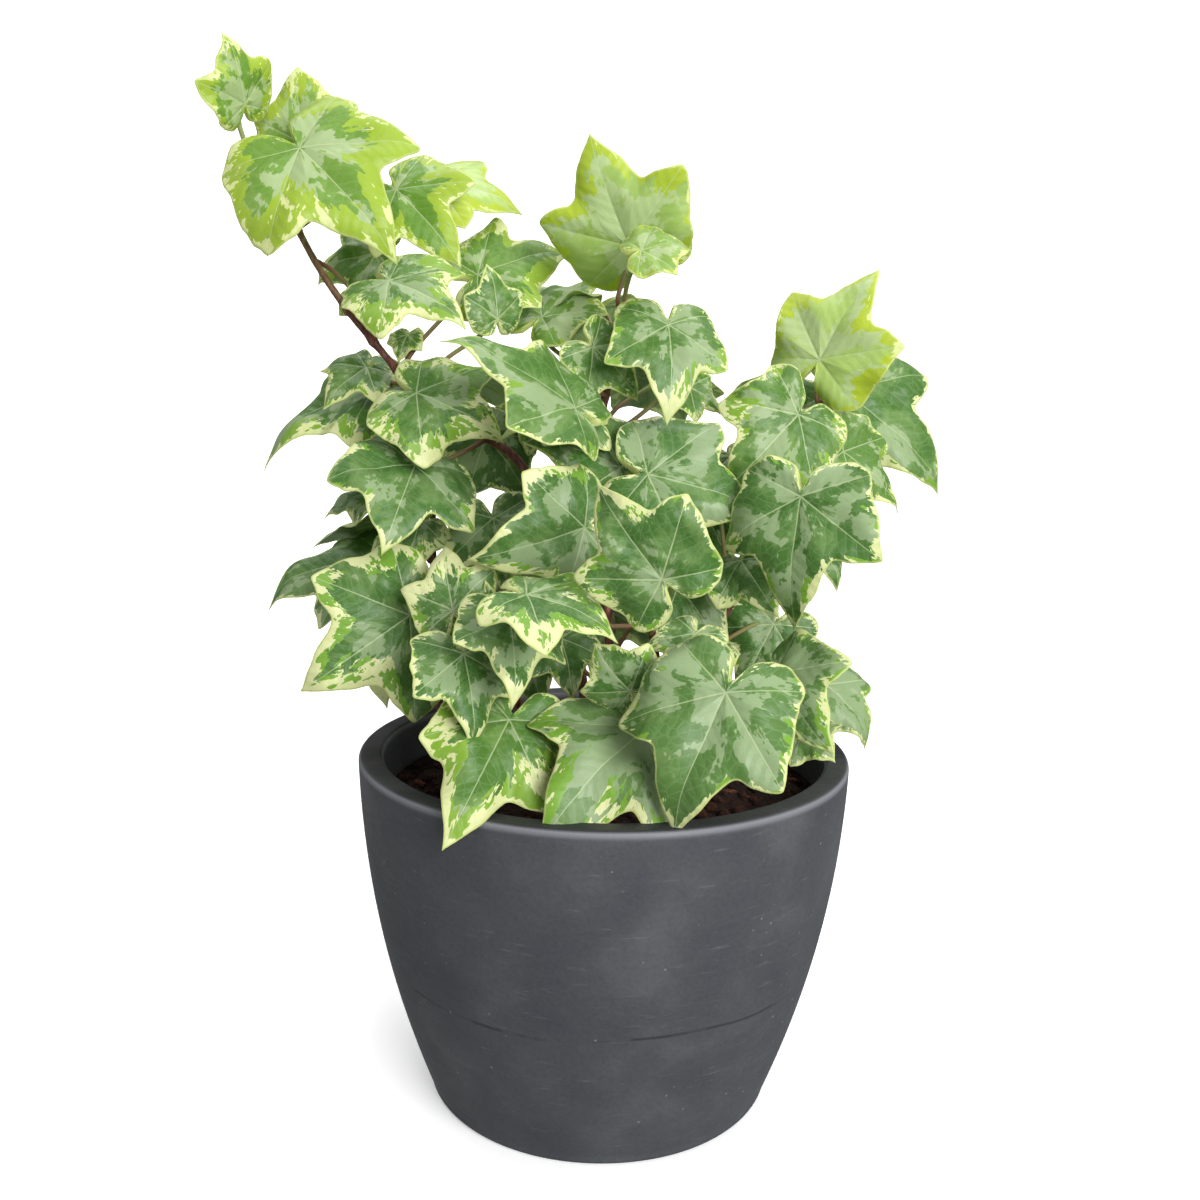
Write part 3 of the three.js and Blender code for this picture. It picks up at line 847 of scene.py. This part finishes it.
def build_leaf(name, net, middle, radius, young, cream, replaces=()):
    """One leaf, blade and stalk in one closed mesh, with its values for the finish."""
    rng = random.Random(name)
    outline = fine_outline(net["edge"], rng)
    habit = habit_of(net, rng, young)
    seed = rng.uniform(5, 60)
    frost = KNOWN_FROST.get(name.replace("ivy_", ""), 0.5 * (seed % 1))
    across, along, normal = net["axes"]
    length = net["length"]
    ring = len(outline)

    shares = np.repeat(RING_SHARES, ring)
    u, v = (np.tile(outline, (len(RING_SHARES), 1)) * shares[:, None]).T
    u, v, shares = np.r_[0, u], np.r_[0, v], np.r_[0, shares]
    away, run = vein_place(u, v, outline)
    margin = margin_distance(u, v, outline)
    lift = blade_lift(u, v, shares, away, net, habit)
    thick = BLADE_THICK + (RIM_THICK - BLADE_THICK) * shares ** 6
    top = net["origin"] + u[:, None] * across + v[:, None] * along + lift[:, None] * normal
    rings = len(RING_SHARES)
    back = np.r_[[np.arange(1 + k * ring, 1 + (k + 1) * ring) for k in reversed(range(rings))]]
    back = back.ravel()
    rib = 0.3 * MM * np.exp(-(away / (0.5 * MM)) ** 2) * (1 - shares)
    low = top[back] - (thick + rib)[back, None] * normal

    stalk = stalk_line(net, middle, radius)
    thin = np.linspace(0, 1, len(stalk))
    radii = (0.78 - 0.5 * thin + 0.42 * thin ** 2) * MM
    radii += 0.3 * MM * np.exp(-((1 - thin) / 0.07) ** 2)
    tube = tube_rings(stalk, radii, STALK_SIDES, along)
    points = np.vstack([top, low, tube, stalk[-1:]])

    faces = cap(0, 1, ring, True) + strips(1, 2 * rings, ring)
    rim_faces = (rings * ring, (rings + 1) * ring)
    first = 1 + 2 * rings * ring
    faces += zipper(first - ring, ring, first, STALK_SIDES)
    faces += strips(first, len(stalk), STALK_SIDES)
    faces += cap(len(points) - 1, len(points) - 1 - STALK_SIDES, STALK_SIDES)

    piece = make_piece(name, points, faces, leaf_skin, replaces, "ivy_leaf", rim_faces)
    both = np.r_[np.arange(len(top)), back]
    none, everywhere = np.zeros(len(points) - len(both)), np.ones(len(points))
    far = none + 0.01
    along_stalk = np.r_[np.repeat(0.03 + 0.97 * thin, STALK_SIDES), 1.0]
    values = {
        "leaf_map": (np.r_[u[both] / length, none], np.r_[v[both] / length, none],
                     np.r_[shares[both], none]),
        "vein": (np.r_[away[both], far], np.r_[run[both], none], np.r_[margin[both], far]),
        "habit": (young * everywhere, cream * everywhere, seed * everywhere),
        "part": (np.r_[np.zeros(len(top)), np.ones(len(low)), none],
                 np.r_[np.zeros(len(both)), along_stalk], frost * everywhere),
    }
    for key, columns in values.items():
        set_values(piece, key, "FLOAT_VECTOR", np.stack(columns, axis=1))
    return piece


print("leaf builder ready")

# %% [markdown]
# ## The leaves: their finish
# A variegated ivy leaf carries layers of tissue that differ in how much green they hold.
# The middle is full green, with patches of grey-green where one layer lacks it, and the
# margin is cream or lime where two do. The borders are sharp, and they are jagged in
# streaks that run outwards, the way the leaf grew. Main veins are thin pale lines. The
# skin is waxy: a broad soft shine, IOR about 1.45, roughness about 0.4. A leaf is thin
# enough to glow with light from behind, so a quarter of the surface is translucent.
# All of this is worked out from the values stored on each point: the place on the leaf,
# the distance from vein and margin, and how young and how cream this leaf is.

# %% Leaf material: zones
def streaks(add, at, offset, round_scale, out_scale, detail):
    """Noise that changes quickly round the leaf and slowly outwards, from 0 to 1."""
    spread = add("VectorMath SCALE", add("VectorMath NORMALIZE", at.place), scale=round_scale)
    own = add("Math ADD", add("Math MULTIPLY_ADD", at.share, out_scale, offset), at.seed)
    where = add("VectorMath ADD", spread, add("CombineXYZ", z=own))
    return add("TexNoise", where, scale=1.0, detail=detail, roughness=0.62).outputs["Fac"]


def leaf_values(add):
    """The values stored on the leaf, by name, and its place with and without its seed."""
    stored = {}
    for name, parts in {"leaf_map": "x y share", "vein": "away run margin",
                        "habit": "young cream seed", "part": "under stalk frost"}.items():
        vector = add("Attribute", settings={"attribute_name": name}).outputs["Vector"]
        split = add("SeparateXYZ", vector)
        stored.update(zip(parts.split(), split.outputs))
    at = SimpleNamespace(**stored)
    at.place = add("CombineXYZ", x=at.x, y=at.y)
    at.spot = add("VectorMath ADD", at.place, add("CombineXYZ", z=at.seed))
    return at


def leaf_zones(add, at):
    """The colour of the blade's upper face without its veins."""
    wide = streaks(add, at, 0.0, 1.7, 1.1, 1.0)
    fringe = streaks(add, at, 7.0, 7.0, 4.0, 3.0)
    blots = add("TexNoise", at.spot, scale=3.2, detail=3.0, roughness=0.6,
                distortion=0.4).outputs["Fac"]
    which = streaks(add, at, 25.0, 2.4, 1.0, 2.0)
    flecks = streaks(add, at, 33.0, 9.0, 7.0, 2.0)

    dark, pale = (add("ValToRGB", at.young, stops=zip((0.0, 0.6, 1.0), colours))
                  for colours in (("#4b7730", "#6d9a31", "#b8d36e"),
                                  ("#6f924e", "#86ad48", "#c9dd8c")))
    shade = add("MapRange", blots, from_min=0.42, from_max=0.56)
    shade = add("Math MAXIMUM", shade, add("MapRange", at.frost, from_min=0.3))
    green = add("Mix RGBA", factor=shade, a=dark, b=pale)
    grey, cream, lime = (add("Mix RGBA", factor=at.young, a=aged, b=young) for aged, young in (
        ("#98af80", "#c4d79a"), ("#e9ebb2", "#e8efa2"), ("#7fae38", "#bfd138")))

    # Grey-green patches, jagged by the fringe noise.
    patch_at = blots
    for value, weight in ((fringe, 0.4), (wide, 0.5), (at.frost, 0.13)):
        patch_at = add("Math MULTIPLY_ADD", value, weight, patch_at)
    patch = add("MapRange", patch_at, from_min=1.02, from_max=1.033)
    body = add("Mix RGBA", factor=patch, a=green, b=grey)

    # The margin zone starts where the share, shaken by both noises, passes a limit.
    reach = at.share
    for value, weight in ((wide, 1.2), (fringe, 0.7), (flecks, 0.4), (at.cream, 0.45)):
        reach = add("Math MULTIPLY_ADD", value, weight, reach)
    inland = add("MapRange", reach, from_min=2.225, from_max=2.235)
    # A narrow band runs all round, from nothing to 3 mm wide.
    band = add("Math MULTIPLY_ADD", fringe, 9 * MM, -3.8 * MM)
    past = add("Math SUBTRACT", at.margin, band)
    in_band = add("MapRange", past, from_min=0.12 * MM, from_max=0.0)
    zone = add("Math MAXIMUM", inland, in_band)
    inner = add("MapRange", at.margin, from_max=2.5 * MM, to_max=0.17)
    lime_at = which
    for value, weight in ((at.young, 0.26), (flecks, 1.1), (inner, 1.0)):
        lime_at = add("Math MULTIPLY_ADD", value, weight, lime_at)
    limed = add("MapRange", lime_at, from_min=1.185, from_max=1.2)
    rim_zone = add("Mix RGBA", factor=limed, a=cream, b=lime)
    return add("Mix RGBA", factor=zone, a=body, b=rim_zone), fringe


# %% Leaf material: veins, margin, underside and stalk
SIDE_VEINS = 3.3 * MM  # spacing of the side veins along a main vein


def leaf_veins(add, at, fringe):
    """Masks of the main veins and of the side veins."""
    width = add("MapRange", at.share, to_min=0.22 * MM, to_max=0.08 * MM)
    ratio = add("Math DIVIDE", at.away, width)
    main = add("MapRange", ratio, from_min=1.3, from_max=0.5, to_max=0.62)
    # Side veins leave the main vein forwards, so their place is the run less the distance.
    back = add("Math MULTIPLY_ADD", at.away, -0.85, at.run)
    phase = add("Math DIVIDE", back, SIDE_VEINS)
    phase = add("Math MULTIPLY_ADD", fringe, 0.7, phase)
    near = add("Math PINGPONG", phase, 0.5)
    fade = add("MapRange", at.margin, from_min=0.2 * MM, from_max=4 * MM, to_max=0.22)
    side = add("MapRange", near, from_min=0.06, from_max=0.015)
    side = add("Math MULTIPLY", side, fade)
    # The smallest veins close up into a net of cells, a twelfth of the leaf across.
    mesh = add("TexVoronoi", at.spot, settings={"feature": "DISTANCE_TO_EDGE"}, scale=12.0)
    mesh = add("MapRange", mesh, from_min=0.07, from_max=0.02, to_max=0.12)
    side = add("Math MAXIMUM", side, mesh)
    return main, side, near


def leaf_material():
    """Waxy variegated ivy leaf: IOR 1.45, roughness about 0.42."""
    material, add = new_material("waxy_ivy_leaf")
    at = leaf_values(add)
    zones, fringe = leaf_zones(add, at)
    main, side, near = leaf_veins(add, at, fringe)
    line = add("MapRange", at.margin, from_min=0.55 * MM, from_max=0.2 * MM, to_max=0.8)
    below = add("Math MULTIPLY", at.under, 0.5)
    on_stalk = add("MapRange", at.stalk, from_max=0.03)
    stalk = add("ValToRGB", at.stalk,
                stops=[[0.0, "#b9c98a"], [0.3, "#93a05e"], [0.7, "#9a7d5a"], [1.0, "#7a4436"]])
    colour = zones
    for there, layer in ((side, "#a9c796"), (main, "#cddcaa"), (line, "#d6e08c"),
                         (below, "#b3c49a"), (on_stalk, stalk)):
        colour = add("Mix RGBA", factor=there, a=colour, b=layer)

    where = add("TexCoord").outputs["Object"]
    wax = add("TexNoise", where, scale=1 / 0.0035, detail=3.0)
    shine = add("MapRange", wax, from_min=0.3, from_max=0.7, to_min=0.36, to_max=0.5)
    # The blade is quilted between its side veins, and its cells give a fine grain.
    quilt = add("Bump", strength=0.5, distance=0.35 * MM, height=near)
    cells = add("TexNoise", where, scale=1 / 0.0007, detail=2.0)
    grain = add("Bump", strength=0.2, distance=0.12 * MM, height=cells, normal=quilt)
    skin = add("BsdfPrincipled", base_color=colour, roughness=shine, ior=1.45, normal=grain)

    glow_colour = add("Mix RGBA", settings={"blend_type": "MULTIPLY"}, factor=1.0, a=colour,
                      b="#f4ffb4")
    glow = add("BsdfTranslucent", color=glow_colour)
    both = add("MixShader", 0.25, skin, glow)
    add("OutputMaterial", surface=both)
    return material


leaf_skin = leaf_material()
print("leaf material:", len(leaf_skin.node_tree.nodes), "nodes")

# %% [markdown]
# ## Dressing the leaves
# New growth at the shoot tips is lime and yellow-green; older leaves lower down are bluer
# with a cream margin. So a leaf's youth follows its height, with a little chance, and its
# share of cream is left to chance, except for the leaves named in the tables here.

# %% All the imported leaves
OLD_BELOW = 0.195
YOUNG_ABOVE = 0.275
KNOWN_YOUTH = by_leaf(
    left={5: 0.1, 6: 0.4, 7: 0.3, 8: 0.95, 9: 0.6, 10: 0.15, 11: 0.55, 12: 0.7, 13: 0.6},
    right={8: 0.25, 9: 0.15, 10: 0.05, 11: 0.95}, frontLeft={1: 0.15},
    centre={6: 0.1, 10: 0.1, 11: 0.75, 12: 0.85})
KNOWN_CREAM = by_leaf(
    left={2: 0.75, 4: 0.4, 5: 0.0, 6: 0.8, 8: 0.7, 9: 0.9, 10: 0.85, 11: 0.95, 12: 0.5, 13: 0.8},
    right={9: 0.45, 10: 0.1, 11: 0.4}, centre={10: 0.2, 12: 0.5}, low={1: 0.9, 2: 0.85, 5: 0.8},
    front={5: 0.95}, frontLeft={1: 0.85, 3: 0.8})


def youth_of(name, net, rng):
    """How young a leaf is: as named above, or by its height with a little chance."""
    height = net["origin"][2] + 0.3 * net["length"]
    share = (height - OLD_BELOW) / (YOUNG_ABOVE - OLD_BELOW)
    return KNOWN_YOUTH.get(name, min(1.0, max(0.0, share + rng.uniform(-0.15, 0.15))))


for name in leaf_names:
    net = leaf_nets[name]
    rng = random.Random("kind " + name)
    stem = "stem_" + name.split("_")[1]
    young = youth_of(name, net, rng)
    cream = KNOWN_CREAM.get(name, rng.uniform(0.0, 0.5))
    build_leaf("ivy_" + name, net, stem_middles[stem], stem_lines[stem][1], young, cream, [name])
print("leaves built:", len(leaf_names))

# %% [markdown]
# ## More leaves, at the back and in the heart of the plant
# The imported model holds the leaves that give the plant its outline. The real plant has
# more: some sit behind and show only through gaps, and some face the back and the sides.
# Each row below is one more leaf. It borrows the blade of a packed leaf as its pattern, and
# is laid between its own junction and tip with its own stalk to the named stem.

# %% Extra leaves
MORE_LEAVES = [
    # stem, height on it, junction, tip, face: millimetres
    ["left", 236, (-71, 14, 227), (-67, 8, 217), (0.2, -0.8, 0.5)],
    ["left", 204, (-57, 6, 216), (-59, 2, 209), (-0.2, -0.8, 0.5)],
    ["right", 168, (34, 2, 184), (39, -6, 172), (0.3, -0.8, 0.5)],
    ["centre", 182, (3, -10, 181), (-23, -16, 190), (0.1, -0.75, 0.65)],
    ["centre", 150, (-22, 22, 165), (-42, 30, 150), (-0.3, -0.5, 0.8)],
    ["centre", 165, (18, 18, 184), (34, 20, 166), (0.2, -0.7, 0.7)],
    ["centre", 188, (-17, 22, 197), (-40, 22, 190), (-0.2, -0.7, 0.75)],
    ["right", 142, (28, 22, 168), (20, 28, 147), (0, -0.7, 0.7)],
    ["low", 112, (-27, 16, 130), (-18, 16, 106), (0.2, -0.8, 0.6)],
    ["centre", 126, (20, -4, 148), (34, -10, 128), (0.2, -0.9, 0.4)],
    ["left", 148, (-32, -4, 166), (-26, -14, 144), (0.2, -0.9, 0.4)],
    ["left", 178, (-36, 14, 188), (-22, 12, 170), (0.1, -0.8, 0.6)],
    ["right", 150, (58, 16, 164), (70, 12, 146), (0.4, -0.7, 0.6)],
    ["centre", 152, (-8, 44, 172), (-14, 64, 152), (-0.1, 0.75, 0.65)],
    ["centre", 192, (14, 30, 206), (24, 50, 190), (0.2, 0.7, 0.7)],
    ["left", 190, (-44, 24, 204), (-52, 46, 190), (-0.2, 0.7, 0.7)],
    ["right", 172, (66, 34, 186), (80, 52, 170), (0.4, 0.7, 0.6)],
    ["low", 152, (-70, 30, 160), (-86, 46, 146), (-0.5, 0.6, 0.6)],
    ["right", 122, (46, 36, 128), (58, 54, 110), (0.4, 0.7, 0.5)],
    ["low", 122, (-50, 34, 124), (-58, 54, 104), (-0.3, 0.8, 0.4)],
    ["centre", 122, (2, 42, 132), (-4, 62, 112), (0, 0.8, 0.5)],
    ["centre", 216, (-4, 22, 226), (-14, 38, 212), (-0.3, 0.7, 0.6)],
    ["right", 192, (50, 26, 204), (42, 42, 188), (-0.2, 0.8, 0.6)],
    ["low", 169, (-48, 9, 176), (-44, 8, 184), (0.3, -0.8, 0.3)],
    ["front", 149, (9, -47, 154), (6, -50, 161), (-0.2, -0.9, 0.3)],
    ["frontLeft", 140, (-28, -36, 146), (-31, -38, 153), (-0.2, -0.9, 0.3)],
    ["right", 126, (50, 14, 134), (40, 12, 114), (0.1, -0.8, 0.6)],
]
STALK_BEHIND = 2.2 * MM


def bezier(a, b, c, d, count):
    """Points on the curve from a to d that b and c pull towards themselves."""
    t = np.linspace(0, 1, count)[:, None]
    return (1 - t) ** 3 * a + 3 * (1 - t) ** 2 * t * b + 3 * (1 - t) * t * t * c + t ** 3 * d


def grown_net(pattern, middle, height, junction, tip, face):
    """A leaf net with the pattern's blade, laid out between a junction and a tip."""
    origin, end = np.array(junction) * MM, np.array(tip) * MM
    length = np.linalg.norm(end - origin)
    along = (end - origin) / length
    normal = unit(np.array(face) - along * (along @ np.array(face)))
    size = length / pattern["length"]
    at = middle[np.argmin(np.abs(middle[:, 2] - height * MM))]
    start = origin - normal * STALK_BEHIND - along * 0.6 * MM
    out = start - at
    reach = np.linalg.norm(out)
    foot = at + unit(out) * 2 * MM
    leave = unit(-normal - 0.6 * along)
    climb = unit(unit(out) + np.array([0, 0, 0.35]))
    stalk = bezier(start, start + leave * 0.3 * reach, foot + climb * 0.35 * reach, foot, 6)
    return {"origin": origin, "axes": np.stack([np.cross(along, normal), along, normal]),
            "length": length, "edge": pattern["edge"] * size,
            "inner": pattern["inner"] * size, "stalk": stalk}


patterns = [leaf_nets[n] for n in leaf_names if n.startswith("leaf_right")]
for i, (stem, height, junction, tip, face) in enumerate(MORE_LEAVES):
    middle = stem_middles["stem_" + stem]
    net = grown_net(patterns[(3 * i) % len(patterns)], middle, height, junction, tip, face)
    name = "ivy_more_%s_%02d" % (stem, i + 1)
    rng = random.Random("kind " + name)
    young = youth_of(name, net, rng)
    build_leaf(name, net, middle, stem_lines["stem_" + stem][1], young, rng.uniform(0.0, 0.5))
print("more leaves:", len(MORE_LEAVES))

# %% [markdown]
# ## The floor and the light
# A white seamless sweep and broad soft lights: a key in front on the right, a weak light
# overhead, a weaker fill on the left, and a light on the sweep behind, so that the plant
# stands in an even glow and keeps only a faint shadow under the pot.

# %% Sweep and lights
SWEEP_HALF = 1.6
SWEEP_ROUND = 0.5
SWEEP_HEIGHT = 2.2


def sweep():
    """A floor that curves up into a back wall."""
    line = [[-SWEEP_HALF, 0]] + [
        [SWEEP_HALF - SWEEP_ROUND + SWEEP_ROUND * math.sin(a), SWEEP_ROUND * (1 - math.cos(a))]
        for a in np.radians(np.linspace(0, 90, 13))
    ] + [[SWEEP_HALF, SWEEP_HEIGHT]]
    points = [(x, y, z) for y, z in line for x in (-2 * SWEEP_HALF, 2 * SWEEP_HALF)]
    faces = [(2 * k, 2 * k + 1, 2 * k + 3, 2 * k + 2) for k in range(len(line) - 1)]
    mesh = bpy.data.meshes.new("sweep")
    mesh.from_pydata(points, [], faces)
    mesh.polygons.foreach_set("use_smooth", np.ones(len(faces), bool))
    piece = bpy.data.objects.new("sweep", mesh)
    scene.collection.objects.link(piece)
    paper, add = new_material("white_paper")
    add("OutputMaterial", surface=add("BsdfPrincipled", base_color="#f7f7f7", roughness=0.9,
                                      emission_color="#ffffff", emission_strength=0.3))
    mesh.materials.append(paper)
    piece.visible_diffuse = False  # the paper doesn't light the pot from below
    piece.visible_glossy = False
    piece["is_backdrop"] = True


def soft_light(name, place, aim, size, power):
    """A broad rectangular lamp, turned from its place towards its aim."""
    light = bpy.data.lights.new(name, "AREA")
    light.shape = "RECTANGLE"
    light.size, light.size_y = size
    light.energy = power
    lamp = bpy.data.objects.new(name, light)
    lamp.location = place
    lamp.rotation_euler = (Vector(aim) - Vector(place)).to_track_quat("-Z", "Y").to_euler()
    scene.collection.objects.link(lamp)


sweep()
PLANT_MIDDLE = (0, 0, 0.14)
soft_light("key_front", (0.7, -1.15, 0.62), PLANT_MIDDLE, (0.9, 0.8), 25)
soft_light("top", (0.1, -0.2, 1.3), PLANT_MIDDLE, (0.9, 0.9), 3)
soft_light("fill_left", (-1.1, -0.8, 0.5), PLANT_MIDDLE, (0.8, 1.0), 1.5)
soft_light("sweep_light", (0, 0.7, 1.6), (0, 1.5, 0.4), (2.6, 0.6), 36)
world = bpy.data.worlds.new("soft_room")
world.use_nodes = True
world.node_tree.nodes["Background"].inputs["Color"].default_value = linear("#ffffff")
world.node_tree.nodes["Background"].inputs["Strength"].default_value = 0.34
scene.world = world
scene.view_settings.view_transform = "Standard"
print("sweep and four soft lights")

# %% [markdown]
# ## Measure and finish
# The fine model has to stay inside the imported model's box, so both boxes are written down.
# Both boxes are measured, and how far the fine model passes the imported model's box on each side
# is printed.

# %% Sizes and finish
boxes = {"cad": [list(v) for v in cad_box], "visual": [list(v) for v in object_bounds()]}
grown = [round((b - a) / MM, 1) for a, b in zip(boxes["cad"][1], boxes["visual"][1])]
shrunk = [round((a - b) / MM, 1) for a, b in zip(boxes["cad"][0], boxes["visual"][0])]
print("grown past the packed box, mm: high side", grown, "low side", shrunk)
